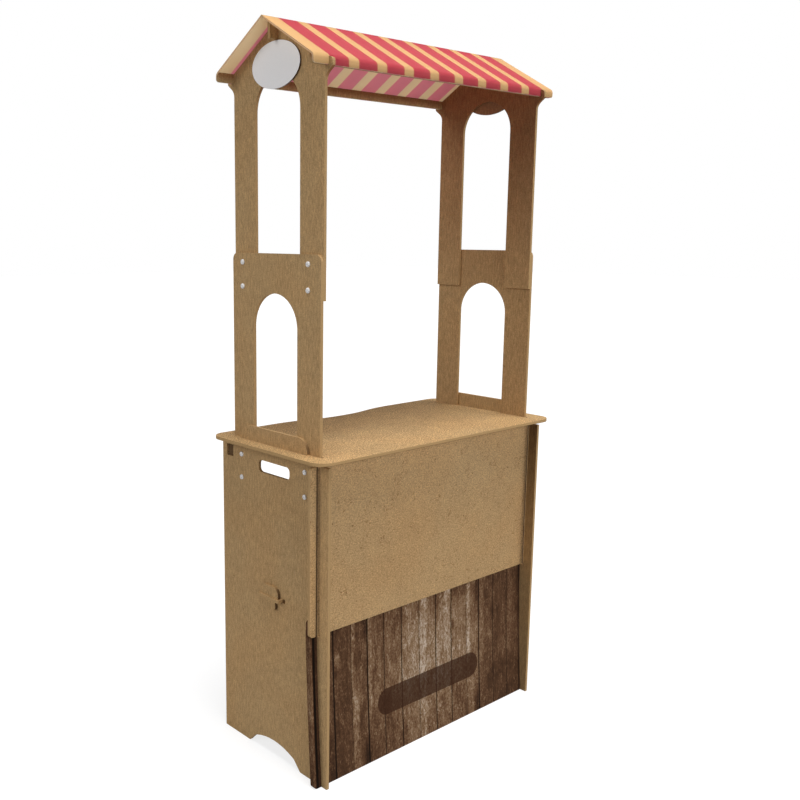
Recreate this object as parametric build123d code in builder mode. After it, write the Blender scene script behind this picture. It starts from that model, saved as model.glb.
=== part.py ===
from build123d import *
import math
import os

os.makedirs("parts", exist_ok=True)

# ---------------------------------------------------------------- driving sizes (mm)
# X runs along the counter, -Y is the customer side, Z is up from the floor.
board = 9.0                 # thickness of every flat board
counter_width = 1000.0      # countertop along X
counter_depth = 496.0       # countertop along Y
counter_height = 940.0      # upper face of the countertop
counter_corner = 45.0       # corner radius of the countertop
scallop_depth = 30.0        # shallow hollow in the back edge
scallop_half = 255.0        # half length of that hollow
side_inset = 44.0           # countertop edge to the outer face of a side panel
side_front = 18.0           # countertop front edge to the front edge of a side panel
side_back = 5.0             # countertop back edge to the back edge of a side panel
tower_centre = 5.0          # Y of the tower, gable and ridge centre line

# towers
tower_width = 379.0         # over the two legs of a frame
leg_width = 94.5            # width of a leg
lower_frame_top = 1473.5    # top of the lower tower frame
lower_spring = 1270.5       # springing of the lower arch
lap_length = 119.5          # overlap of two frames at a leg
lower_leg_drop = 135.0      # leg below the underside of the countertop
frame_corner = 19.0         # rounded top corners of the lower frame

# roof
ridge_height = 2081.0       # outer top of the roof
roof_overhang = 51.0        # roof beyond the outer face of a gable
roof_half_depth = 204.0     # centre line to the outer face of the folded lip
roof_angle = 30.7           # slope in degrees
sheet = 5.0                 # roof sheet
lip_depth = 21.9            # outer face of the folded lip, from the fold's sharp corner down
fold_radius = 14.0          # outside radius of the fold
lip_corner = 8.0            # rounded lower corners at the ends of a lip
ear_reach = 28.5            # tip of an ear beyond the leg
ear_rise = 19.0             # top of an ear above the lip's lower edge
ear_nose = 13.4             # rounding of the ear
corbel_height = 33.0        # curve from the leg up to the tip of an ear
opening_drop = 234.0        # ridge to the springing of the gable opening
ridge_beam_depth = 49.2     # notched into the gables under the ridge
ridge_beam_overhang = 27.0  # beam beyond the outer face of a gable

# counter front
front_face_inset = 61.4     # countertop front edge to the front face of the upper panel
wing_reach = 26.0           # wing beyond the outer face of a side panel
front_split = 440.0         # height of the joint between the two front panels
plank_thick = 16.0          # thickness of the lower front panel
plank_setback = 1.4         # its face behind the upper panel's face at the joint
plank_lean = 23.6           # its face runs forward by this much down to the floor
plank_lip_height = 48.0     # lip behind the upper panel
panel_slot_front = 11.7     # open slot in front of the upper panel
wing_corner = 11.0          # rounded corners of the wings
strip_gap = 11.0            # top of the forward strip below the countertop
wing_gap = 14.0             # top of a wing below the countertop

# side panel details
tongue_half = 147.5         # half length of the tongue above the countertop
tongue_height = 43.0        # above the countertop
tongue_corner = 38.0
arch_half = 118.0           # foot arch
arch_height = 47.0
arch_shoulder = 28.0
arch_centre = 2.0
handhold_length = 138.0
handhold_height = 35.5
handhold_z = 873.0
handhold_y = 0.5
handhold_corner = 13.0
mortise_w = 31.5            # mortise for the rear rail
mortise_h = 35.0
mortise_back = 20.0         # back edge of the side panel to the mortise
mortise_z = 894.5
rail_recess = 6.0

# shelf
shelf_top = 498.0
shelf_front_gap = 4.0
shelf_back_gap = 20.0
tab_reach = 14.0            # tab beyond the outer face
tab_front = -36.0
tab_back = 59.0
tab_slot_extra = 13.0       # open slot left in front of the tab
tab_slot_rise = 4.0         # that slot above the top of the shelf
key_shank_front = -15.0
key_shank_back = 36.0
key_head_side = 12.0
key_head_height = 32.0
key_drop = 28.0             # shank below the tab
key_corner = 20.0

# signs
sign_half_width = 99.5
sign_half_height = 60.5
sign_drop = 118.0           # ridge to the centre of a sign
sign_thick = 5.0

# ---------------------------------------------------------------- derived sizes
half_w = counter_width / 2
half_d = counter_depth / 2
top_under = counter_height - board
side_out = half_w - side_inset
side_in = side_out - board
lower_in = side_in - board
upper_in = lower_in - board
y_front = -half_d + side_front
y_back = half_d - side_back
panel_front = -half_d + front_face_inset
panel_back = panel_front + board
slot_front = panel_front - panel_slot_front
plank_front_top = panel_front + plank_setback
plank_back_top = plank_front_top + plank_thick
plank_front_low = plank_front_top - plank_lean
plank_back_low = plank_front_low + plank_thick
wing_x = side_out + wing_reach
half_tower = tower_width / 2
half_opening = half_tower - leg_width
lower_leg_bottom = top_under - lower_leg_drop
upper_leg_bottom = lower_frame_top - lap_length
upper_spring = ridge_height - opening_drop
slope = math.tan(math.radians(roof_angle))
apex_under = ridge_height - sheet / math.cos(math.radians(roof_angle))
eave_out_z = ridge_height - slope * roof_half_depth
lip_bottom = eave_out_z - lip_depth
lip_in = roof_half_depth - sheet
rail_in = lip_in - board
ear_top = lip_bottom + ear_rise
ear_tip = half_tower + ear_reach
ear_under = ear_top - ear_nose * 1.6
corbel_bottom = ear_under - corbel_height
half_roof = lower_in + roof_overhang
ridge_beam_bottom = apex_under - ridge_beam_depth
half_beam_length = lower_in + ridge_beam_overhang
sign_z = ridge_height - sign_drop
beam_half = board / 2
rail_front = y_back - mortise_back - mortise_w
tongue_top = counter_height + tongue_height


def under_roof(d):
    """Height of the underside of the straight roof slope at distance d from the ridge line."""
    return apex_under - slope * d


def side_panel_at(x_low):
    """One side board: foot arch, forward strip, tongue, handhold and joints."""
    with BuildPart() as body:
        with BuildSketch(Plane.YZ.offset(x_low)):
            with BuildLine():
                Polyline(
                    (arch_centre + arch_half, 0),
                    (y_back, 0),
                    (y_back, top_under),
                    (tower_centre + tongue_half, top_under),
                    (tower_centre + tongue_half, tongue_top),
                    (tower_centre - tongue_half, tongue_top),
                    (tower_centre - tongue_half, top_under),
                    (plank_back_top, top_under),
                    (plank_back_top, front_split),
                    (slot_front, front_split),
                    (slot_front, top_under - strip_gap),
                    (y_front, top_under - strip_gap),
                    (y_front, 0),
                    (arch_centre - arch_half, 0),
                    (arch_centre - arch_half + arch_shoulder, arch_shoulder),
                )
                ThreePointArc(
                    (arch_centre - arch_half + arch_shoulder, arch_shoulder),
                    (arch_centre, arch_height),
                    (arch_centre + arch_half - arch_shoulder, arch_shoulder),
                )
                Line(
                    (arch_centre + arch_half - arch_shoulder, arch_shoulder),
                    (arch_centre + arch_half, 0),
                )
            make_face()
            with Locations((handhold_y, handhold_z)):
                RectangleRounded(
                    handhold_length, handhold_height, handhold_corner, mode=Mode.SUBTRACT
                )
            with Locations((rail_front + mortise_w / 2, mortise_z)):
                Rectangle(mortise_w, mortise_h, mode=Mode.SUBTRACT)
            with Locations(((tab_back + tab_front - tab_slot_extra) / 2, shelf_top - board / 2)):
                Rectangle(tab_back - tab_front + tab_slot_extra, board, mode=Mode.SUBTRACT)
            with Locations((tab_front - tab_slot_extra / 2, shelf_top + (tab_slot_rise - board) / 2)):
                Rectangle(tab_slot_extra, board + tab_slot_rise, mode=Mode.SUBTRACT)
        extrude(amount=board)
        tips = body.edges().filter_by(Axis.X).filter_by(
            lambda e: abs(e.center().Z - tongue_top) < 0.01
        )
        fillet(tips, tongue_corner)
    return body.part


def lower_frame_at(x_low):
    """Inverted U with a round arch, its legs standing down through the countertop."""
    c = tower_centre
    with BuildPart() as body:
        with BuildSketch(Plane.YZ.offset(x_low)):
            with BuildLine():
                Polyline(
                    (panel_back, lower_leg_bottom),
                    (panel_back, top_under),
                    (c - half_tower, top_under),
                    (c - half_tower, lower_frame_top),
                    (c + half_tower, lower_frame_top),
                    (c + half_tower, top_under),
                    (rail_front, top_under),
                    (rail_front, lower_leg_bottom),
                    (panel_back, lower_leg_bottom),
                )
            make_face()
            with Locations((c, (lower_spring + lower_leg_bottom) / 2)):
                Rectangle(2 * half_opening, lower_spring - lower_leg_bottom, mode=Mode.SUBTRACT)
            with Locations((c, lower_spring)):
                Circle(half_opening, mode=Mode.SUBTRACT)
        extrude(amount=board)
        tips = body.edges().filter_by(Axis.X).filter_by(
            lambda e: abs(e.center().Z - lower_frame_top) < 0.01
        )
        fillet(tips, frame_corner)
    return body.part


def gable_frame_at(x_low):
    """Two legs, a tall arched opening, corbels with ears and a pointed top."""
    c = tower_centre
    with BuildPart() as body:
        with BuildSketch(Plane.YZ.offset(x_low)):
            for sign in (1, -1):
                with BuildLine():
                    Polyline(
                        (c, upper_leg_bottom),
                        (c + sign * half_tower, upper_leg_bottom),
                        (c + sign * half_tower, corbel_bottom),
                    )
                    Bezier(
                        (c + sign * half_tower, corbel_bottom),
                        (c + sign * (half_tower + ear_reach * 0.07), corbel_bottom + corbel_height * 0.55),
                        (c + sign * (ear_tip - ear_reach * 0.32), ear_under - corbel_height * 0.3),
                        (c + sign * ear_tip, ear_under),
                    )
                    Bezier(
                        (c + sign * ear_tip, ear_under),
                        (c + sign * (ear_tip + ear_nose * 0.1), ear_top - ear_nose * 0.45),
                        (c + sign * (ear_tip - ear_nose * 0.2), ear_top),
                        (c + sign * (ear_tip - ear_nose), ear_top),
                    )
                    Polyline(
                        (c + sign * (ear_tip - ear_nose), ear_top),
                        (c + sign * rail_in, ear_top),
                        (c + sign * rail_in, under_roof(rail_in)),
                        (c + sign * beam_half, under_roof(beam_half)),
                        (c + sign * beam_half, ridge_beam_bottom),
                        (c, ridge_beam_bottom),
                        (c, upper_leg_bottom),
                    )
                make_face()
            with Locations((c, (upper_spring + upper_leg_bottom) / 2)):
                Rectangle(2 * half_opening, upper_spring - upper_leg_bottom, mode=Mode.SUBTRACT)
            with Locations((c, upper_spring)):
                Circle(half_opening, mode=Mode.SUBTRACT)
        extrude(amount=board)
    return body.part


def end_corners(body):
    """Lower edges of a lip or rail at both ends of the roof."""
    return body.edges().filter_by(Axis.Y).filter_by(
        lambda e: abs(e.center().Z - lip_bottom) < 0.01 and abs(abs(e.center().X) - half_roof) < 0.01
    )


def roof_sheet_on(sign):
    """One slope with its folded lip, slotted for the ears of both gables."""
    c = tower_centre
    with BuildPart() as body:
        with BuildSketch(Plane.YZ.offset(-half_roof)):
            with BuildLine():
                outer = Polyline(
                    (c, ridge_height),
                    (c + sign * roof_half_depth, eave_out_z),
                    (c + sign * roof_half_depth, lip_bottom),
                    (c + sign * lip_in, lip_bottom),
                    (c + sign * lip_in, under_roof(lip_in)),
                    (c, apex_under),
                    (c, ridge_height),
                )
            make_face()
        extrude(amount=2 * half_roof)
        outside = body.edges().filter_by(Axis.X).filter_by(
            lambda e: abs(e.center().Z - eave_out_z) < 0.01
        )
        fillet(outside, fold_radius)
        inside = body.edges().filter_by(Axis.X).filter_by(
            lambda e: abs(e.center().Z - under_roof(lip_in)) < 0.01
        )
        fillet(inside, fold_radius - sheet)
        fillet(end_corners(body), lip_corner)
        for x in (upper_in + beam_half, -upper_in - beam_half):
            with BuildSketch(Plane.XZ.offset(-c - sign * (lip_in + roof_half_depth) / 2)):
                with Locations((x, (lip_bottom + ear_top) / 2)):
                    Rectangle(board, ear_top - lip_bottom)
            extrude(amount=roof_half_depth - lip_in, both=True, mode=Mode.SUBTRACT)
    return body.part


def eave_rail_on(sign):
    """Batten behind a folded lip, notched over the ears."""
    c = tower_centre
    fold_in = (fold_radius - sheet) * math.tan(math.radians((90 - roof_angle) / 2))
    rail_out_top = under_roof(lip_in) - fold_in
    flat = lip_in - fold_in * math.cos(math.radians(roof_angle))
    with BuildPart() as body:
        with BuildSketch(Plane.YZ.offset(-half_roof)):
            with BuildLine():
                Polyline(
                    (c + sign * rail_in, lip_bottom),
                    (c + sign * lip_in, lip_bottom),
                    (c + sign * lip_in, rail_out_top),
                    (c + sign * flat, under_roof(flat)),
                    (c + sign * rail_in, under_roof(rail_in)),
                    (c + sign * rail_in, lip_bottom),
                )
            make_face()
        extrude(amount=2 * half_roof)
        fillet(end_corners(body), lip_corner)
        for x in (upper_in + beam_half, -upper_in - beam_half):
            with BuildSketch(Plane.XZ.offset(-c - sign * (rail_in + lip_in) / 2)):
                with Locations((x, (lip_bottom + ear_top) / 2)):
                    Rectangle(board, ear_top - lip_bottom)
            extrude(amount=board, both=True, mode=Mode.SUBTRACT)
    return body.part


def shelf_key_on(sign):
    """Hooked key standing in the slot of the shelf tab, against the side panel."""
    x_low = side_out if sign > 0 else -side_out - board
    low = shelf_top - board - key_drop
    with BuildPart() as body:
        with BuildSketch(Plane.YZ.offset(x_low)):
            with BuildLine():
                Polyline(
                    (key_shank_front, low),
                    (key_shank_back, low),
                    (key_shank_back, shelf_top),
                    (key_shank_back + key_head_side, shelf_top),
                    (key_shank_back + key_head_side, shelf_top + key_head_height),
                    (key_shank_front - key_head_side, shelf_top + key_head_height),
                    (key_shank_front - key_head_side, shelf_top),
                    (key_shank_front, shelf_top),
                    (key_shank_front, low),
                )
            make_face()
        extrude(amount=board)
        ends = body.edges().filter_by(Axis.X)
        tops = ends.filter_by(lambda e: e.center().Z > shelf_top + 1)
        fillet(tops, key_corner)
        feet = body.edges().filter_by(Axis.X).filter_by(lambda e: e.center().Z < low + 1)
        fillet(feet, key_corner / 2)
    return body.part


def sign_board_on(sign):
    """Oval board on the outer face of a gable."""
    x_low = upper_in + board if sign > 0 else -upper_in - board - sign_thick
    with BuildPart() as body:
        with BuildSketch(Plane.YZ.offset(x_low)):
            with Locations((tower_centre, sign_z)):
                Ellipse(sign_half_width, sign_half_height)
        extrude(amount=sign_thick)
    return body.part


# ---------------------------------------------------------------- side panels
with BuildPart() as side_panel_left:
    add(side_panel_at(-side_out))
side_panel_left.part.label = "side_panel_left"
export_step(side_panel_left.part, "parts/side_panel_left.step")

with BuildPart() as side_panel_right:
    add(side_panel_at(side_in))
side_panel_right.part.label = "side_panel_right"
export_step(side_panel_right.part, "parts/side_panel_right.step")

# ---------------------------------------------------------------- upper front panel
with BuildPart() as front_panel_upper:
    with BuildSketch(Plane.XZ.offset(-panel_back)):
        with Locations((0, (top_under + front_split) / 2)):
            Rectangle(2 * side_in, top_under - front_split)
        for side in (1, -1):
            with Locations((side * (side_in + wing_x) / 2, (top_under - wing_gap + front_split) / 2)):
                Rectangle(wing_x - side_in, top_under - wing_gap - front_split)
    extrude(amount=board)
    tips = front_panel_upper.edges().filter_by(Axis.Y).filter_by(
        lambda e: abs(abs(e.center().X) - wing_x) < 0.01
    )
    fillet(tips, wing_corner)
front_panel_upper.part.label = "front_panel_upper"
export_step(front_panel_upper.part, "parts/front_panel_upper.step")

# ---------------------------------------------------------------- lower front panel
with BuildPart() as front_panel_lower:
    with BuildSketch(Plane.YZ.offset(-wing_x)):
        with BuildLine():
            Polyline(
                (plank_back_low, 0),
                (plank_front_low, 0),
            )
            Bezier(
                (plank_front_low, 0),
                (plank_front_low + plank_lean * 0.45, front_split * 0.33),
                (plank_front_top - plank_lean * 0.15, front_split * 0.7),
                (plank_front_top, front_split),
            )
            Polyline(
                (plank_front_top, front_split),
                (panel_back, front_split),
                (panel_back, front_split + plank_lip_height),
                (plank_back_top, front_split + plank_lip_height),
                (plank_back_top, front_split),
            )
            Bezier(
                (plank_back_top, front_split),
                (plank_back_top - plank_lean * 0.15, front_split * 0.7),
                (plank_back_low + plank_lean * 0.45, front_split * 0.33),
                (plank_back_low, 0),
            )
        make_face()
    extrude(amount=2 * wing_x)
    for x in (side_in + beam_half, -side_in - beam_half):
        with BuildSketch(Plane.XY):
            with Locations((x, plank_front_top)):
                Rectangle(board, 4 * plank_thick + 2 * plank_lean)
        extrude(amount=front_split, mode=Mode.SUBTRACT)
    corners = front_panel_lower.edges().filter_by(Axis.Y).filter_by(
        lambda e: abs(abs(e.center().X) - wing_x) < 0.01
        and (e.center().Z < 0.01 or e.center().Z > front_split + plank_lip_height - 0.01)
    )
    fillet(corners, wing_corner)
front_panel_lower.part.label = "front_panel_lower"
export_step(front_panel_lower.part, "parts/front_panel_lower.step")

# ---------------------------------------------------------------- countertop
leg_slot_front = 8.0        # open end of the leg slot in front of a leg
with BuildPart() as countertop:
    with BuildSketch(Plane.XY.offset(top_under)):
        RectangleRounded(counter_width, counter_depth, counter_corner)
        with BuildLine():
            Bezier(
                (-scallop_half, half_d),
                (-scallop_half / 2, half_d),
                (-scallop_half / 2, half_d - scallop_depth),
                (0, half_d - scallop_depth),
            )
            Bezier(
                (0, half_d - scallop_depth),
                (scallop_half / 2, half_d - scallop_depth),
                (scallop_half / 2, half_d),
                (scallop_half, half_d),
            )
            Line((scallop_half, half_d), (-scallop_half, half_d))
        make_face(mode=Mode.SUBTRACT)
        for side in (1, -1):
            with Locations((side * (side_in + beam_half), tower_centre)):
                Rectangle(board, 2 * tongue_half, mode=Mode.SUBTRACT)
            for end in (1, -1):
                with Locations((side * (lower_in + beam_half),
                                tower_centre + end * (half_tower - leg_width / 2))):
                    Rectangle(board, leg_width, mode=Mode.SUBTRACT)
            with Locations((side * (lower_in + beam_half),
                            tower_centre - half_tower - leg_slot_front / 2)):
                Rectangle(board, leg_slot_front, mode=Mode.SUBTRACT)
    extrude(amount=board)
countertop.part.label = "countertop"
export_step(countertop.part, "parts/countertop.step")

# ---------------------------------------------------------------- towers and gables
with BuildPart() as lower_frame_left:
    add(lower_frame_at(-side_in))
lower_frame_left.part.label = "lower_frame_left"
export_step(lower_frame_left.part, "parts/lower_frame_left.step")

with BuildPart() as lower_frame_right:
    add(lower_frame_at(lower_in))
lower_frame_right.part.label = "lower_frame_right"
export_step(lower_frame_right.part, "parts/lower_frame_right.step")

with BuildPart() as gable_frame_left:
    add(gable_frame_at(-lower_in))
gable_frame_left.part.label = "gable_frame_left"
export_step(gable_frame_left.part, "parts/gable_frame_left.step")

with BuildPart() as gable_frame_right:
    add(gable_frame_at(upper_in))
gable_frame_right.part.label = "gable_frame_right"
export_step(gable_frame_right.part, "parts/gable_frame_right.step")

# ---------------------------------------------------------------- roof
with BuildPart() as roof_sheet_front:
    add(roof_sheet_on(-1))
roof_sheet_front.part.label = "roof_sheet_front"
export_step(roof_sheet_front.part, "parts/roof_sheet_front.step")

with BuildPart() as roof_sheet_back:
    add(roof_sheet_on(1))
roof_sheet_back.part.label = "roof_sheet_back"
export_step(roof_sheet_back.part, "parts/roof_sheet_back.step")

with BuildPart() as eave_rail_front:
    add(eave_rail_on(-1))
eave_rail_front.part.label = "eave_rail_front"
export_step(eave_rail_front.part, "parts/eave_rail_front.step")

with BuildPart() as eave_rail_back:
    add(eave_rail_on(1))
eave_rail_back.part.label = "eave_rail_back"
export_step(eave_rail_back.part, "parts/eave_rail_back.step")

with BuildPart() as ridge_beam:
    with BuildSketch(Plane.YZ.offset(-half_beam_length)):
        with BuildLine():
            Polyline(
                (tower_centre - beam_half, ridge_beam_bottom),
                (tower_centre + beam_half, ridge_beam_bottom),
                (tower_centre + beam_half, under_roof(beam_half)),
                (tower_centre, apex_under),
                (tower_centre - beam_half, under_roof(beam_half)),
                (tower_centre - beam_half, ridge_beam_bottom),
            )
        make_face()
    extrude(amount=2 * half_beam_length)
ridge_beam.part.label = "ridge_beam"
export_step(ridge_beam.part, "parts/ridge_beam.step")

# ---------------------------------------------------------------- signs
with BuildPart() as sign_board_left:
    add(sign_board_on(-1))
sign_board_left.part.label = "sign_board_left"
export_step(sign_board_left.part, "parts/sign_board_left.step")

with BuildPart() as sign_board_right:
    add(sign_board_on(1))
sign_board_right.part.label = "sign_board_right"
export_step(sign_board_right.part, "parts/sign_board_right.step")

# ---------------------------------------------------------------- rear rail and shelf
with BuildPart() as rear_rail:
    with Locations((0, rail_front + mortise_w / 2, mortise_z)):
        Box(2 * (side_out - rail_recess), mortise_w, mortise_h)
rear_rail.part.label = "rear_rail"
export_step(rear_rail.part, "parts/rear_rail.step")

with BuildPart() as shelf:
    with BuildSketch(Plane.XY.offset(shelf_top - board)):
        with BuildLine():
            Polyline(
                (-side_in, plank_back_top + shelf_front_gap),
                (side_in, plank_back_top + shelf_front_gap),
                (side_in, y_back - shelf_back_gap),
                (-side_in, y_back - shelf_back_gap),
                (-side_in, plank_back_top + shelf_front_gap),
            )
        make_face()
        for side in (1, -1):
            with Locations((side * (side_in + (board + tab_reach) / 2),
                            (tab_front + tab_back) / 2)):
                Rectangle(board + tab_reach, tab_back - tab_front)
            with Locations((side * (side_out + beam_half),
                            (key_shank_front + key_shank_back) / 2)):
                Rectangle(board, key_shank_back - key_shank_front, mode=Mode.SUBTRACT)
    extrude(amount=board)
shelf.part.label = "shelf"
export_step(shelf.part, "parts/shelf.step")

with BuildPart() as shelf_key_left:
    add(shelf_key_on(-1))
shelf_key_left.part.label = "shelf_key_left"
export_step(shelf_key_left.part, "parts/shelf_key_left.step")

with BuildPart() as shelf_key_right:
    add(shelf_key_on(1))
shelf_key_right.part.label = "shelf_key_right"
export_step(shelf_key_right.part, "parts/shelf_key_right.step")
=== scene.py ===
import bpy
import bmesh
import math
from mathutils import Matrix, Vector


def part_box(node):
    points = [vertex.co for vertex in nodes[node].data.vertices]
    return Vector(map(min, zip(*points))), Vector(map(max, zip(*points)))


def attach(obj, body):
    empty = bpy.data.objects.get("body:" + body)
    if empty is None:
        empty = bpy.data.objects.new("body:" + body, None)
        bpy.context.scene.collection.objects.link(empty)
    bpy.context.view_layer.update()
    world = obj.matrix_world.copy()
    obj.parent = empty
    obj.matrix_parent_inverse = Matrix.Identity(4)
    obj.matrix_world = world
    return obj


# Looks of the roofed counter: materials for its boards, the bolt caps, a floor, the lights and the camera.
# Lengths are in metres. X runs along the counter to the right, Y from its front to its back, and Z up.
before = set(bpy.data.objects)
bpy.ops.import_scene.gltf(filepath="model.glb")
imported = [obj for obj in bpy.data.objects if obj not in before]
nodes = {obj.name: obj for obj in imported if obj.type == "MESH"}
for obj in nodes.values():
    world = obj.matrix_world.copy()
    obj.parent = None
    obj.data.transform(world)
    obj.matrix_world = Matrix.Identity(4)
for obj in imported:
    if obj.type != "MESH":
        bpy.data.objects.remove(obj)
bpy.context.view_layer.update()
scene = bpy.context.scene
scene.view_settings.view_transform = "Standard"

# ---------------------------------------------------------------- places in the frame
counter_low, counter_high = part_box("countertop")
tower_low, tower_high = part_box("lower_frame_left")
eave_low, eave_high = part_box("eave_rail_back")
roof_low, roof_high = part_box("roof_sheet_front")
side_face = -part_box("side_panel_left")[0].x

# ---------------------------------------------------------------- camera
# One perspective, fitted to the square edges of the boards in the photograph. Angles are in degrees.
CAMERA_PLACE = (-2.06934, -2.01212, 1.52722)
LOOKS_DOWN = 10.01
TURNED_RIGHT = 39.68
cam_data = bpy.data.cameras.new("camera")
cam = bpy.data.objects.new("camera", cam_data)
scene.collection.objects.link(cam)
cam.location = CAMERA_PLACE
cam.rotation_euler = (math.radians(90 - LOOKS_DOWN), 0, math.radians(-TURNED_RIGHT))
cam_data.sensor_width = 36
cam_data.lens = 42.4998
cam_data.shift_x = 0.1384875
cam_data.shift_y = 0.0001
scene.camera = cam


# ---------------------------------------------------------------- node helpers
def put(tree, socket, value):
    """Links the value, where it is another node's socket, and otherwise sets it on the socket itself."""
    if isinstance(value, bpy.types.NodeSocket):
        tree.links.new(value, socket)
    else:
        socket.default_value = value


def add_node(tree, kind, values=(), **settings):
    """New node: settings are its properties, and values go to its inputs in order, or by name or number."""
    node = tree.nodes.new(kind)
    for key, value in settings.items():
        setattr(node, key, value)
    pairs = values.items() if isinstance(values, dict) else enumerate(values)
    for key, value in pairs:
        put(tree, node.inputs[key], value)
    return node


class Mat:
    """Node material built step by step. x, y, z are the place, and nx, ny, nz the direction of a face."""

    def __init__(self, name):
        self.mat = bpy.data.materials.new(name)
        self.mat.use_nodes = True
        self.tree = self.mat.node_tree
        self.tree.nodes.clear()
        self.output = self.node("ShaderNodeOutputMaterial")
        self.shader = self.node("ShaderNodeBsdfPrincipled")
        self.show(self.shader.outputs["BSDF"])
        source = self.node("ShaderNodeTexCoord")
        self.place = source.outputs["Object"]
        self.x, self.y, self.z = self.node("ShaderNodeSeparateXYZ", (self.place,)).outputs
        self.nx, self.ny, self.nz = self.node("ShaderNodeSeparateXYZ", (source.outputs["Normal"],)).outputs

    def node(self, kind, values=(), **settings):
        return add_node(self.tree, kind, values, **settings)

    def show(self, surface):
        self.tree.links.new(surface, self.output.inputs["Surface"])

    def math(self, operation, *values):
        return self.node("ShaderNodeMath", values, operation=operation).outputs[0]

    def times(self, product, *others):
        for value in others:
            product = self.math("MULTIPLY", product, value)
        return product

    def most(self, highest, *others):
        for value in others:
            highest = self.math("MAXIMUM", highest, value)
        return highest

    def apart(self, a, b):
        """How far two values are from each other."""
        return self.math("ABSOLUTE", self.math("SUBTRACT", a, b))

    def span(self, value, start, end, low=0.0, high=1.0, smooth=False):
        """Goes from low, at start, to high, at end, and stays level beyond both."""
        way = "SMOOTHSTEP" if smooth else "LINEAR"
        values = (value, start, end, low, high)
        return self.node("ShaderNodeMapRange", values, interpolation_type=way).outputs[0]

    def fade(self, value, full, none, share=1.0, smooth=False):
        """Mask that has its share at full, and 0 at none."""
        return self.span(value, full, none, share, 0, smooth)

    def uneven(self, noise, amount):
        """Factor about 1 that follows a noise."""
        return self.span(noise, 0.30, 0.70, 1 - amount, 1 + amount)

    def stretched(self, scale, shift=(0, 0, 0)):
        """The place, scaled and then moved, so that two noises of one kind differ."""
        values = {"Vector": self.place, "Scale": scale, "Location": shift}
        return self.node("ShaderNodeMapping", values).outputs[0]

    def moved(self, *shift):
        return self.stretched((1, 1, 1), shift)

    def noise(self, scale, detail, roughness, place=None, distortion=0.0):
        values = {"Vector": self.place if place is None else place, "Scale": scale, "Detail": detail,
                  "Roughness": roughness, "Distortion": distortion}
        return self.node("ShaderNodeTexNoise", values).outputs["Fac"]

    def ramp(self, value, stops, interpolation="LINEAR"):
        """Colour from (place on the ramp, colour) stops."""
        node = self.node("ShaderNodeValToRGB", (value,))
        elements = node.color_ramp.elements
        node.color_ramp.interpolation = interpolation
        while len(elements) < len(stops):
            elements.new(0.5)
        for element, (position, colour) in zip(elements, stops):
            element.position = position
            element.color = (*colour, 1)
        return node.outputs["Color"]

    def profile(self, value, start, end, stops, interpolation="LINEAR"):
        """Tone that follows (value, tone) stops, whose values lie between start and end."""
        greys = [((at - start) / (end - start), (tone, tone, tone)) for at, tone in stops]
        return self.ramp(self.span(value, start, end), greys, interpolation)

    def mix(self, mask, a, b, blend="MIX"):
        # a mix of colours has its factor in input 0, the colours in 6 and 7, and the result in output 2
        values = {0: mask, 6: a, 7: b}
        return self.node("ShaderNodeMix", values, data_type="RGBA", blend_type=blend).outputs[2]

    def tinted(self, colour, tint):
        return self.mix(1.0, colour, tint, "MULTIPLY")

    def grey(self, value):
        return self.node("ShaderNodeCombineColor", (value, value, value)).outputs[0]

    def ends(self, share=1.0):
        """Mask of the faces that look along X, either way."""
        return self.fade(self.math("ABSOLUTE", self.nx), 0.8, 0.5, share)

    def to_middle(self):
        """Mask of the faces that look along X to the middle of the counter."""
        return self.fade(self.times(self.nx, self.math("SIGN", self.x)), -0.8, -0.5)

    def bump(self, height, strength, distance, under=None):
        values = {"Strength": strength, "Distance": distance, "Height": height}
        if under is not None:
            values["Normal"] = under
        return self.node("ShaderNodeBump", values).outputs["Normal"]

    def finish(self, colour, normal, roughness, specular):
        values = {"Base Color": colour, "Roughness": roughness, "Normal": normal,
                  "Specular IOR Level": specular}
        for name, value in values.items():
            put(self.tree, self.shader.inputs[name], value)
        return self.mat


# ---------------------------------------------------------------- colours
WHITE = (1, 1, 1, 1)
MDF = (0.46, 0.30, 0.145, 1)
MDF_EAVE = (0.49, 0.335, 0.170, 1)
MDF_KRAFT = (0.47, 0.305, 0.148, 1)
MDF_COUNTER = (0.46, 0.30, 0.142, 1)
CUT_TINT = (0.99, 0.9702, 0.9405)
WARM_TINT = (1.04, 0.955, 0.87, 1)
DARK_FLECK = (0.13, 0.072, 0.028, 1)
PALE_FLECK = (0.66, 0.47, 0.25, 1)
HAIR_LINE = (0.20, 0.10, 0.035, 1)
DARK_FRONT = (0.085, 0.048, 0.024, 1)
PAINTED_RECESS_SHADE = (0.10, 0.058, 0.028, 1)
PAINTED_SLOT_SHADE = (0.05, 0.03, 0.016, 1)

# Shade that the photograph shows on some faces and that the plain light does not give.
SHADE_INSIDE_STRIP = (0.36, 0.34, 0.31, 1)
SHADE_UNDER_ROOF = (0.60, 0.42, 0.38, 1)
SHADE_EAVE = (0.60, 0.46, 0.40, 1)
SHADE_SIGN_BACK = (0.55, 0.40, 0.335, 1)
SHADE_LIP = (0.72, 0.70, 0.66, 1)
SHADE_COUNTER_RIM = (0.24, 0.21, 0.19, 1)
# painted light on the top of the upper front panel
PAINTED_LIGHT_KRAFT_TOP = (1.10, 1.125, 1.16, 1)

RED = (0.555, 0.060, 0.083, 1)
CREAM = (0.775, 0.485, 0.210, 1)
# the underside's colours are paler than the top: painted light
RED_BELOW = (0.93, 0.425, 0.515, 1)
CREAM_BELOW = (0.99, 0.895, 0.635, 1)
CREAM_BELOW_END = (0.95, 0.82, 0.57, 1)
DAYLIGHT_ABOVE = (0.95, 0.80, 0.76, 1)
CUT_SHEET = (0.56, 0.38, 0.20, 1)

SIGN_WHITE = (0.94, 0.93, 0.94, 1)
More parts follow.
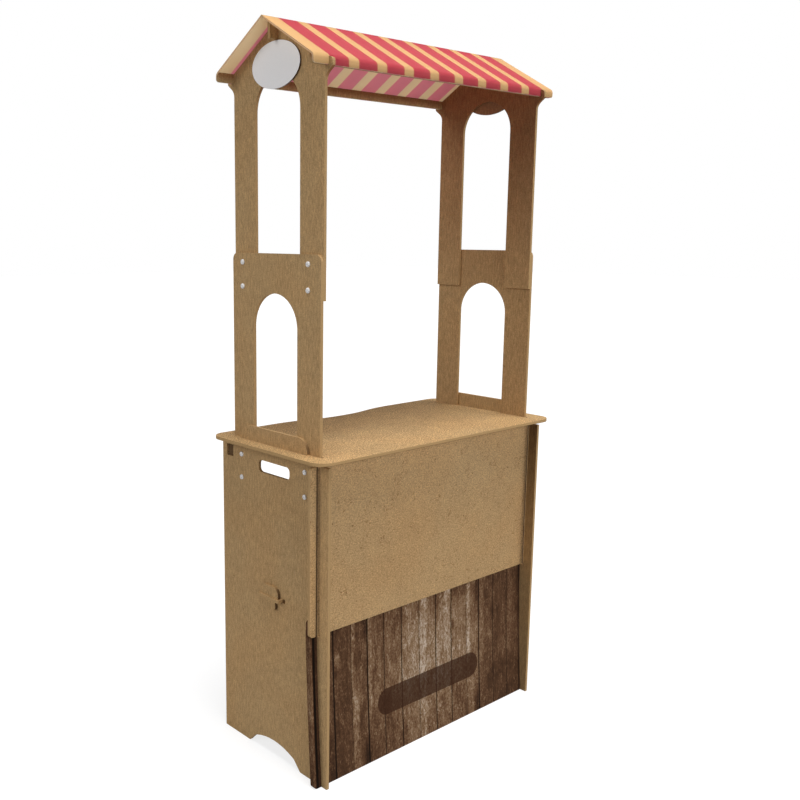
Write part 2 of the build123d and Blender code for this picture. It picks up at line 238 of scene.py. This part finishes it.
# painted shade on the sign's cut rim
PAINTED_SHADE_SIGN_RIM = (0.10, 0.062, 0.035, 1)
CAP_WHITE = (0.80, 0.79, 0.785, 1)

# ---------------------------------------------------------------- raw fibreboard
# Noise scale along X, Y and Z, for fibres that lie along Z, along X or every way.
FIBRE_SCALE = {"z": (215, 215, 42), "x": (42, 215, 215), "free": (170, 290, 215)}
FLECK_SCALE = {"z": (150, 150, 70), "x": (80, 150, 150), "free": (110, 110, 110)}


def fibre_colour(m, base=MDF, grain=0.24, along="z", blot=0.04, flecks=0.5, veins=0.0):
    """Cloudy tone, short matted fibres, dark and pale flecks and, where veins is above 0, hair lines.

    Gives the colour, and the two noises of the fibres for the bump."""
    fibre = m.noise(1.0, 4, 0.68, m.stretched(FIBRE_SCALE[along]))
    fine = m.noise(300, 3, 0.75)
    cloud = m.noise(8, 4, 0.6, distortion=0.4)
    patch = m.noise(38, 3, 0.6, m.moved(4.4, 2.3, 7.1))
    hue = m.noise(5, 3, 0.5, m.moved(3.1, 1.7, 0.4))
    tone = m.times(m.uneven(fibre, grain), m.uneven(fine, grain))
    tone = m.times(tone, m.uneven(cloud, blot), m.uneven(patch, blot))
    colour = m.tinted(base, m.grey(tone))
    colour = m.tinted(colour, m.mix(m.span(hue, 0.40, 0.62, 0, 0.4), WHITE, WARM_TINT))
    spots = m.noise(1.0, 2, 0.55, m.stretched(FLECK_SCALE[along], (0.7, 5.2, 2.2)))
    colour = m.mix(m.fade(spots, 0.75, 0.69, flecks), colour, DARK_FLECK)
    colour = m.mix(m.fade(spots, 0.25, 0.31, flecks * 0.5), colour, PALE_FLECK)
    if veins > 0:
        line = m.fade(m.apart(m.noise(26, 2, 0.6, m.moved(1.5, 0, 8), 1.6), 0.5), 0.005, 0.012)
        here = m.span(m.noise(17, 2, 0.5, m.moved(7, 3, 2)), 0.50, 0.59, 0, veins)
        colour = m.mix(m.times(line, here), colour, HAIR_LINE)
    return colour, fibre, fine


class Board(Mat):
    """Fibreboard. The edges, which do not look along the board's axis, are cut and have their own colour."""

    def __init__(self, name, axis, base=MDF, **fibres):
        super().__init__(name)
        self.colour, self.fibre, self.fine = fibre_colour(self, base, **fibres)
        across = {"x": self.nx, "y": self.ny, "z": self.nz}[axis]
        cut = self.fade(self.math("ABSOLUTE", across), 0.55, 0.85)
        edge = [value * tint for value, tint in zip(base, CUT_TINT)]
        layers = self.uneven(self.noise(500, 3, 0.6), 0.14)
        self.stain_and_shade(cut, self.tinted((*edge, 1), self.grey(layers)))

    def stain_and_shade(self, mask, colour):
        """Brings the colour in where the mask is 1: the board's own colours, and painted shade."""
        self.colour = self.mix(mask, self.colour, colour)

    def shade(self, mask, tint):
        """Multiplies by the tint where the mask is 1: painted shade, and painted light where the tint is
        above 1.
        """
        self.stain_and_shade(mask, self.tinted(self.colour, tint))

    def inner(self):
        """Mask of the faces that look to the middle of the counter or down."""
        return self.most(self.to_middle(), self.fade(self.nz, -0.8, -0.3))

    def done(self):
        normal = self.bump(self.fibre, 0.25, 0.0008)
        normal = self.bump(self.fine, 0.2, 0.0005, normal)
        roughness = self.span(self.fibre, 0.3, 0.7, 0.86, 0.74)
        return self.finish(self.colour, normal, roughness, specular=0.08)


def side_board():
    """Side panels, with a dark front end on the tongue and painted shade on the inside of the forward strip.
    """
    m = Board("fibreboard_side", "x")
    above_counter = m.span(m.z, counter_high.z + 0.001, counter_high.z + 0.004)
    m.stain_and_shade(m.times(m.fade(m.ny, -0.95, -0.45, 0.72), above_counter), DARK_FRONT)
    # the strip stands ahead of the front panels, and the painted shade on it grows up to the countertop
    strip_back, shade_from, shade_full = -0.189, 0.40, 0.92
    strip = m.times(m.span(m.z, shade_from, shade_full), m.fade(m.y, strip_back, strip_back + 0.005))
    m.shade(m.times(m.inner(), strip), SHADE_INSIDE_STRIP)
    return m.done()


def tower_board():
    """Lower and gable frames, whose inner faces and downward rims get a painted shade, darker and redder
    toward the roof.
    """
    m = Board("fibreboard_gable", "x")
    # painted shade from the foot of the gable frames up to the eaves, with a little of it below
    shade_from, shade_full, least = 1.35, 1.96, 0.14
    m.shade(m.times(m.inner(), m.span(m.z, shade_from, shade_full, least, 1)), SHADE_UNDER_ROOF)
    return m.done()


def key_board():
    """Shelf keys, with a dark front end."""
    m = Board("fibreboard_key", "x")
    m.stain_and_shade(m.fade(m.ny, -0.75, -0.35, 0.85), DARK_FRONT)
    return m.done()


def rail_board():
    """Rear rail, whose ends in the side panels are painted dark as the shade of a recess."""
    m = Board("fibreboard_rail", "y")
    # painted shade: the rail's ends are darkened as if set back in the mortises
    m.stain_and_shade(m.ends(0.9), PAINTED_RECESS_SHADE)
    return m.done()


def eave_board():
    """Eave rails, with a painted shade that darkens them toward the upper edge."""
    m = Board("fibreboard_eave", "y", MDF_EAVE)
    # painted shade, darker toward the upper edge
    m.shade(m.span(m.z, eave_low.z, eave_high.z - 0.008), SHADE_EAVE)
    return m.done()


def kraft_board():
    """Upper front panel: strong fibres and hair lines, with painted light on its top and a painted shade
    line beside the side panels.
    """
    m = Board("kraft_face", "y", MDF_KRAFT, grain=0.32, along="free", blot=0.045, flecks=0.75, veins=0.8)
    # painted light: the top of the panel is lighter, where the countertop's shadow falls
    light_from, light_full = 0.70, 0.80
    m.shade(m.span(m.z, light_from, light_full), PAINTED_LIGHT_KRAFT_TOP)
    # painted shade: a dark line in the slot beside each side panel
    line = side_face + 0.0024
    from_line = m.apart(m.math("ABSOLUTE", m.x), line)
    m.stain_and_shade(m.fade(from_line, 0.0018, 0.0032, 0.88, smooth=True), PAINTED_SLOT_SHADE)
    return m.done()


def counter_board():
    """Countertop: a coarse mottled face, and a thin painted shade on the lower rim of the front edge."""
    m = Board("counter_face", "z", MDF_COUNTER, grain=0.68, along="free", blot=0.075)
    # painted shade under the front edge, where the countertop meets the front panel
    lower_rim = m.fade(m.z, counter_low.z + 0.0002, counter_low.z + 0.0015)
    m.shade(m.times(m.fade(m.ny, -0.9, -0.6), lower_rim), SHADE_COUNTER_RIM)
    return m.done()


# ---------------------------------------------------------------- roof
def awning():
    """Red and cream stripes across the sheet, made paler on the underside as painted light, with painted
    shade on the lips' lower edge and bare cut ends.
    """
    m = Mat("awning_stripes")
    pitch_above, cream_above, last_stripe = 0.1006, 0.0355, 0.0545
    pitch_below, cream_below, first_below = 0.1, 0.0406, 0.0105
    lip_height, daylight_share = 0.009, 0.27

    def cream_bands(along, pitch, width, middle):
        """Mask of one band in each pitch, with its middle at that share of the pitch."""
        half, blur = width / pitch / 2, 0.004
        off = m.apart(m.math("FRACT", m.math("DIVIDE", along, pitch)), middle)
        return m.fade(off, half - blur, half + blur)

    from_middle = m.math("ABSOLUTE", m.x)
    last_from = roof_high.x - last_stripe
    at_end = m.span(from_middle, last_from, last_from + 0.0008)
    above = m.most(cream_bands(from_middle, pitch_above, cream_above, 0.5), at_end)
    from_first = m.math("SUBTRACT", m.x, first_below)
    below = cream_bands(from_first, pitch_below, cream_below, cream_below / pitch_below / 2)
    upper_side = m.mix(above, RED, CREAM)
    underside = m.mix(below, RED_BELOW, m.mix(at_end, CREAM_BELOW, CREAM_BELOW_END))
    down = m.fade(m.nz, -0.5, -0.3)
    colour = m.mix(down, upper_side, underside)
    # painted shade: the lips darken toward their lower edge
    upright = m.span(m.math("ABSOLUTE", m.ny), 0.8, 0.95)
    lip = m.times(upright, m.fade(m.z, roof_low.z, roof_low.z + lip_height))
    colour = m.mix(lip, colour, m.tinted(colour, SHADE_LIP))
    colour = m.mix(m.ends(), colour, CUT_SHEET)
    grain = m.noise(700, 2, 0.6)
    cloud = m.noise(7, 3, 0.5)
    colour = m.tinted(colour, m.grey(m.times(m.uneven(grain, 0.035), m.uneven(cloud, 0.03))))
    mat = m.finish(colour, m.bump(grain, 0.10, 0.0003), roughness=0.7, specular=0.1)
    # the thin sheet lets some daylight through to its underside
    daylight = m.node("ShaderNodeBsdfTranslucent", (m.mix(down, DAYLIGHT_ABOVE, underside),)).outputs[0]
    both = m.node("ShaderNodeMixShader", (daylight_share, m.shader.outputs["BSDF"], daylight))
    m.show(both.outputs[0])
    return mat


# ---------------------------------------------------------------- plank print
# The print is listed. Places on the panel count from its middle and from the ground, and the tones are given
# for these stretches of it.
PANEL_ACROSS = (-0.5, 0.5)
PANEL_UP = (0.0, 0.5)
# Tone by the place across, by the height, and for each board from its left joint on.
TONE_ACROSS = [
    (-0.480, 0.50), (-0.4765, 0.46), (-0.4755, 0.22), (-0.455, 0.22), (-0.454, 0.37), (-0.36, 0.42),
    (-0.29, 0.49), (-0.23, 0.58), (-0.16, 0.73), (-0.08, 0.92), (-0.01, 0.97), (0.06, 0.97),
    (0.14, 0.83), (0.20, 0.72), (0.27, 0.53), (0.34, 0.42), (0.42, 0.37), (0.48, 0.34),
]
TONE_UP = [
    (0.0, 0.58), (0.05, 0.66), (0.10, 0.78), (0.20, 0.98), (0.26, 1.0), (0.32, 0.88), (0.38, 0.76),
    (0.44, 0.66),
]
TONE_OF_BOARD = [
    (-0.5, 1.0), (-0.397, 1.05), (-0.3285, 1.00), (-0.2645, 1.02), (-0.1965, 0.95), (-0.1225, 1.07),
    (-0.046, 0.95), (0.029, 1.06), (0.1005, 1.0), (0.173, 0.97), (0.234, 0.93), (0.305, 0.96),
    (0.3765, 1.0),
]
# Dark joints between the boards: place across, width and strength. From its middle a joint is darkest up to
# the core and has ended at the edge, which are shares of its width.
JOINT_CORE, JOINT_EDGE = 0.40, 0.85
JOINTS = [
    (-0.469, 0.0070, 0.93), (-0.397, 0.0042, 0.93), (-0.3285, 0.0022, 0.55), (-0.2645, 0.0042, 0.93),
    (-0.1965, 0.0028, 0.82), (-0.1225, 0.0032, 0.90), (-0.046, 0.0026, 0.62), (0.029, 0.0032, 0.90),
    (0.1005, 0.0032, 0.90), (0.173, 0.0022, 0.55), (0.234, 0.0040, 0.93), (0.305, 0.0034, 0.62),
    (0.3765, 0.0034, 0.62), (0.4405, 0.0034, 0.80), (0.469, 0.0070, 0.93),
]
# Shadowed edges and marks, then pale worn patches: left, right, bottom, top and strength, and then the blur
# of the sides and of the ends, where they are not the usual ones.
DARK_MARKS = [
    (-0.284, -0.264, 0.385, 0.46, 0.75, 0.010), (-0.282, -0.264, -0.02, 0.07, 0.75, 0.010),
    (0.214, 0.234, 0.37, 0.46, 0.70, 0.010), (0.214, 0.234, -0.02, 0.06, 0.75, 0.010),
    (-0.394, -0.384, 0.305, 0.335, 0.6, 0.004, 0.010), (0.103, 0.114, 0.305, 0.335, 0.6, 0.004, 0.010),
    (-0.208, -0.198, 0.27, 0.35, 0.45, 0.005), (0.297, 0.312, 0.29, 0.35, 0.5, 0.008),
    (0.10, 0.173, 0.412, 0.46, 0.35, 0.004, 0.012),
]
WORN_PATCHES = [
    (-0.327, -0.313, 0.36, 0.46, 1.0), (-0.328, -0.318, 0.23, 0.36, 0.85),
    (-0.326, -0.300, -0.02, 0.24, 0.90, 0.008), (-0.263, -0.246, 0.15, 0.46, 0.60, 0.006),
    (-0.044, -0.013, 0.40, 0.46, 0.75, 0.006), (-0.043, -0.014, 0.18, 0.385, 1.0, 0.006),
    (-0.042, -0.017, -0.02, 0.13, 0.78, 0.008), (0.068, 0.094, 0.32, 0.46, 0.80, 0.007),
    (0.070, 0.097, -0.02, 0.32, 0.42, 0.008), (0.174, 0.190, 0.18, 0.46, 1.0, 0.005),
    (0.175, 0.206, -0.02, 0.12, 0.50, 0.008), (0.238, 0.256, 0.16, 0.46, 0.30, 0.008),
    (0.384, 0.402, 0.24, 0.46, 0.24, 0.008), (-0.392, -0.374, 0.32, 0.365, 0.90, 0.006, 0.012),
    (0.106, 0.121, 0.33, 0.37, 0.50, 0.006, 0.012), (-0.12, -0.05, 0.25, 0.42, 0.10, 0.010),
]
# Overall tone, and the colours from dark to bright, the right end of which stands for the brightest tone.
PRINT_TONE = 0.295
BRIGHTEST_PRINT = 0.6
PRINT_COLOURS = [
    (0.0, (0.016, 0.009, 0.006)), (0.157, (0.096, 0.047, 0.024)), (0.28, (0.170, 0.094, 0.051)),
    (0.467, (0.284, 0.180, 0.102)), (0.56, (0.336, 0.240, 0.158)), (0.95, (0.57, 0.46, 0.37)),
]
JOINT_DARK = (0.006, 0.004, 0.003, 1)
PILL_COLOUR = (0.046, 0.019, 0.010, 1)


def print_spot(m, left, right, bottom, top, strength, side_blur=0.004, end_blur=0.03):
    """Soft-edged upright rectangle on the plank print."""
    across = m.apart(m.x, (left + right) / 2)
    up = m.apart(m.z, (bottom + top) / 2)
    half_width, half_height = (right - left) / 2, (top - bottom) / 2
    sides = m.fade(across, half_width - side_blur, half_width + side_blur, strength, smooth=True)
    ends = m.fade(up, half_height - end_blur, half_height + end_blur, smooth=True)
    return m.times(sides, ends)


def pill(m):
    """Mask of the plain dark bar with round ends in the middle of the plank print."""
    half_straight, height, radius, blur = 0.186, 0.164, 0.041, 0.0015
    along = m.most(m.math("SUBTRACT", m.math("ABSOLUTE", m.x), half_straight), 0.0)
    up = m.math("SUBTRACT", m.z, height)
    reach = m.math("SQRT", m.math("ADD", m.math("POWER", along, 2), m.math("POWER", up, 2)))
    return m.fade(reach, radius - blur, radius, 0.86)


def planks():
    """Printed weathered boards: uneven widths, dark joints, worn pale patches, darker toward the sides."""
    m = Mat("plank_face")
    fine = m.noise(1.0, 3, 0.75, m.stretched((250, 250, 130)))
    grain = m.noise(1.0, 4, 0.7, m.stretched((210, 210, 16)), 0.3)
    patch = m.noise(1.0, 4, 0.65, m.stretched((34, 34, 15), (5, 2, 3)), 0.5)
    stain_and_shade = m.noise(1.0, 3, 0.6, m.stretched((17, 17, 7), (2, 7, 1)))
    scuff = m.noise(1.0, 4, 0.7, m.stretched((85, 85, 44), (1, 3, 9)), 0.4)

    def scuffed(share):
        """Scuffs broken up by some of the fine noise."""
        return m.math("ADD", scuff, m.times(m.math("SUBTRACT", fine, 0.5), share))

    across = m.profile(m.x, *PANEL_ACROSS, TONE_ACROSS)
    up = m.profile(m.z, *PANEL_UP, TONE_UP)
    board = m.profile(m.x, *PANEL_ACROSS, TONE_OF_BOARD, "CONSTANT")
    tone = m.times(across, up, board, PRINT_TONE, m.uneven(fine, 0.56), m.uneven(grain, 0.38),
                   m.uneven(patch, 0.34), m.span(stain_and_shade, 0.52, 0.66, 1.0, 0.66, smooth=True))
    marks = m.most(*[print_spot(m, *row) for row in DARK_MARKS])
    tone = m.times(tone, m.math("SUBTRACT", 1.0, marks))
    worn = m.most(*[print_spot(m, *row) for row in WORN_PATCHES])
    lift = m.times(worn, m.span(scuffed(0.5), 0.36, 0.60, 0.15, 1), m.span(m.z, 0.0, 0.25, 0.19, 0.22))
    flakes = m.times(m.span(scuffed(0.6), 0.57, 0.71, 0, 0.12), m.math("ADD", across, 0.3))
    tone = m.math("ADD", m.math("ADD", tone, lift), flakes)
    colour = m.ramp(m.times(tone, 1 / BRIGHTEST_PRINT), PRINT_COLOURS)
    joint = m.most(*[m.fade(m.apart(m.x, at), width * JOINT_CORE, width * JOINT_EDGE, strength, smooth=True)
                     for at, width, strength in JOINTS])
    colour = m.mix(joint, colour, JOINT_DARK)
    colour = m.mix(pill(m), colour, m.tinted(PILL_COLOUR, m.grey(m.uneven(fine, 0.2))))
    raw = fibre_colour(m, blot=0.05)[0]
    colour = m.mix(m.span(m.ny, 0.2, 0.4), colour, raw)
    height = m.math("SUBTRACT", m.times(grain, 0.35), joint)
    return m.finish(colour, m.bump(height, 0.25, 0.0006), roughness=0.72, specular=0.03)


# ---------------------------------------------------------------- signs and caps
def sign_board():
    """White printed face on raw board: the back is brown with a painted shade, and the cut rim is painted
    dark as shade.
    """
    m = Mat("sign_face")
    grain = m.noise(500, 2, 0.5)
    face = m.tinted(SIGN_WHITE, m.grey(m.uneven(grain, 0.02)))
    # painted shade on the back, as under the roof, and on the dark cut rim
    back = m.tinted(fibre_colour(m, blot=0.05)[0], SHADE_SIGN_BACK)
    colour = m.mix(m.ends(), PAINTED_SHADE_SIGN_RIM, m.mix(m.to_middle(), face, back))
    return m.finish(colour, m.bump(grain, 0.05, 0.0003), roughness=0.5, specular=0.3)


def cap_plastic():
    """Pale, slightly glossy plastic of the bolt caps."""
    m = Mat("bolt_cap")
    speckle = m.noise(900, 2, 0.5)
    colour = m.tinted(CAP_WHITE, m.grey(m.uneven(speckle, 0.06)))
    return m.finish(colour, m.bump(speckle, 0.05, 0.0002), roughness=0.38, specular=0.5)


side = side_board()
tower = tower_board()
key = key_board()
rail = rail_board()
eave = eave_board()
stripes = awning()
sign = sign_board()
cap = cap_plastic()
materials = {
    "side_panel_left": side, "side_panel_right": side,
    "lower_frame_left": tower, "lower_frame_right": tower,
    "gable_frame_left": tower, "gable_frame_right": tower,
    "shelf_key_left": key, "shelf_key_right": key,
    "front_panel_upper": kraft_board(), "front_panel_lower": planks(),
    "countertop": counter_board(), "shelf": Board("fibreboard_z", "z", along="x").done(),
    "roof_sheet_front": stripes, "roof_sheet_back": stripes,
    "eave_rail_front": eave, "eave_rail_back": eave,
    "ridge_beam": Board("fibreboard_y", "y").done(), "rear_rail": rail,
    "sign_board_left": sign, "sign_board_right": sign,
}
for name, obj in nodes.items():
    for slot in obj.material_slots:
        slot.material = materials[name]

# ---------------------------------------------------------------- bolt caps
# Distance out of the face and radius, from the foot of the dome to the bottom of the recess in its middle.
CAP_PROFILE = [
    (0.0, 0.0076), (0.0012, 0.0076), (0.0024, 0.0071), (0.0034, 0.0059), (0.0040, 0.0042), (0.0042, 0.0030),
    (0.0041, 0.0024), (0.0030, 0.0021), (0.0030, 0.0005),
]
CAP_STEPS = 40
# Middles of the caps: down from the countertop's underside, down from the top of the lower frames, and
# along Y from the middle of these frames.
CAPS_BELOW_COUNTER = (0.039, 0.108)
CAPS_BELOW_TOWER_TOP = (0.0255, 0.0935)
CAPS_FROM_MIDDLE = (-0.1385, 0.1445)


def bolt_cap(name, centre, outward):
    """Domed cap turned about the X axis, with its foot at the centre."""
    bm = bmesh.new()
    rings = []
    for height, radius in CAP_PROFILE:
        ring = []
        for i in range(CAP_STEPS):
            angle = 2 * math.pi * i / CAP_STEPS
            ring.append(bm.verts.new((centre[0] + outward * height, centre[1] + radius * math.cos(angle),
                                      centre[2] + radius * math.sin(angle))))
        rings.append(ring)
    for a, b in zip(rings, rings[1:]):
        for i in range(CAP_STEPS):
            j = (i + 1) % CAP_STEPS
            bm.faces.new((a[i], a[j], b[j], b[i]))
    bm.faces.new(rings[0])
    bm.faces.new(rings[-1])
    bmesh.ops.recalc_face_normals(bm, faces=bm.faces)
    me = bpy.data.meshes.new(name)
    bm.to_mesh(me)
    bm.free()
    for poly in me.polygons:
        poly.use_smooth = True
    me.set_sharp_from_angle(angle=math.radians(50))
    me.materials.append(cap)
    ob = bpy.data.objects.new(name, me)
    scene.collection.objects.link(ob)
    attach(ob, "root")


tower_middle = (tower_low.y + tower_high.y) / 2
laps = (
    (side_face, [counter_low.z - drop for drop in CAPS_BELOW_COUNTER]),
    (-tower_low.x, [tower_high.z - drop for drop in CAPS_BELOW_TOWER_TOP]),
)
for outward, word in ((-1, "left"), (1, "right")):
    number = 0
    for face, heights in laps:
        for offset in CAPS_FROM_MIDDLE:
            for z in heights:
                number += 1
                centre = (outward * face, tower_middle + offset, z)
                bolt_cap("bolt_cap_%s_%d" % (word, number), centre, outward)


# ---------------------------------------------------------------- stage
def shown_to(tree):
    """1 for the rays that see the white background: camera, glossy and transmission rays."""
    rays = add_node(tree, "ShaderNodeLightPath").outputs
    either = rays["Is Camera Ray"]
    for word in ("Is Glossy Ray", "Is Transmission Ray"):
        either = add_node(tree, "ShaderNodeMath", (either, rays[word]), operation="MAXIMUM").outputs[0]
    return either


# The floor lies a little under the feet, so that no two faces share one plane.
FLOOR_REACH = 30
FLOOR_DROP = 0.0004
FLOOR_GREY = (0.30, 0.30, 0.30, 1)
FLOOR_GLOW = 0.75
WORLD_LIGHT = 0.07

floor_mesh = bpy.data.meshes.new("floor")
corners = [(x * FLOOR_REACH, y * FLOOR_REACH, 0) for x, y in ((-1, -1), (1, -1), (1, 1), (-1, 1))]
floor_mesh.from_pydata(corners, [], [(0, 1, 2, 3)])
floor = bpy.data.objects.new("floor", floor_mesh)
scene.collection.objects.link(floor)
floor.location.z = -FLOOR_DROP

# seen directly, the floor is its own grey with the shadows in it, raised to about white
floor_material = bpy.data.materials.new("floor")
floor_material.use_nodes = True
tree = floor_material.node_tree
tree.nodes.clear()
grey = add_node(tree, "ShaderNodeBsdfDiffuse", (FLOOR_GREY,)).outputs[0]
glow = add_node(tree, "ShaderNodeEmission", (WHITE, FLOOR_GLOW)).outputs[0]
raised = add_node(tree, "ShaderNodeAddShader", (grey, glow)).outputs[0]
surface = add_node(tree, "ShaderNodeMixShader", (shown_to(tree), grey, raised)).outputs[0]
add_node(tree, "ShaderNodeOutputMaterial", {"Surface": surface})
floor_mesh.materials.append(floor_material)

# seen directly, the world is white, and it lights the object only a little
world = bpy.data.worlds.new("world")
scene.world = world
world.use_nodes = True
tree = world.node_tree
tree.nodes.clear()
lit = add_node(tree, "ShaderNodeBackground", (WHITE, WORLD_LIGHT)).outputs[0]
seen = add_node(tree, "ShaderNodeBackground", (WHITE, 1.0)).outputs[0]
surface = add_node(tree, "ShaderNodeMixShader", (shown_to(tree), lit, seen)).outputs[0]
add_node(tree, "ShaderNodeOutputWorld", {"Surface": surface})


def sun(name, azimuth, elevation, strength, softness):
    """Distant soft light, with angles in degrees: azimuth 0 is the front and 90 the left.

    At strength 1 it lights a face that looks at it as bright as the face's own colour."""
    data = bpy.data.lights.new(name, "SUN")
    data.energy = strength * math.pi
    data.angle = math.radians(softness)
    ob = bpy.data.objects.new(name, data)
    scene.collection.objects.link(ob)
    el, az = math.radians(elevation), math.radians(azimuth)
    towards = Vector((-math.cos(el) * math.sin(az), -math.cos(el) * math.cos(az), math.sin(el)))
    ob.rotation_euler = towards.to_track_quat("Z", "Y").to_euler()


sun("key", azimuth=5, elevation=78, strength=0.94, softness=26)
sun("front_fill", azimuth=0, elevation=4, strength=0.63, softness=50)
sun("left_fill", azimuth=110, elevation=24, strength=0.335, softness=36)
sun("rear_fill", azimuth=215, elevation=35, strength=0.12, softness=60)
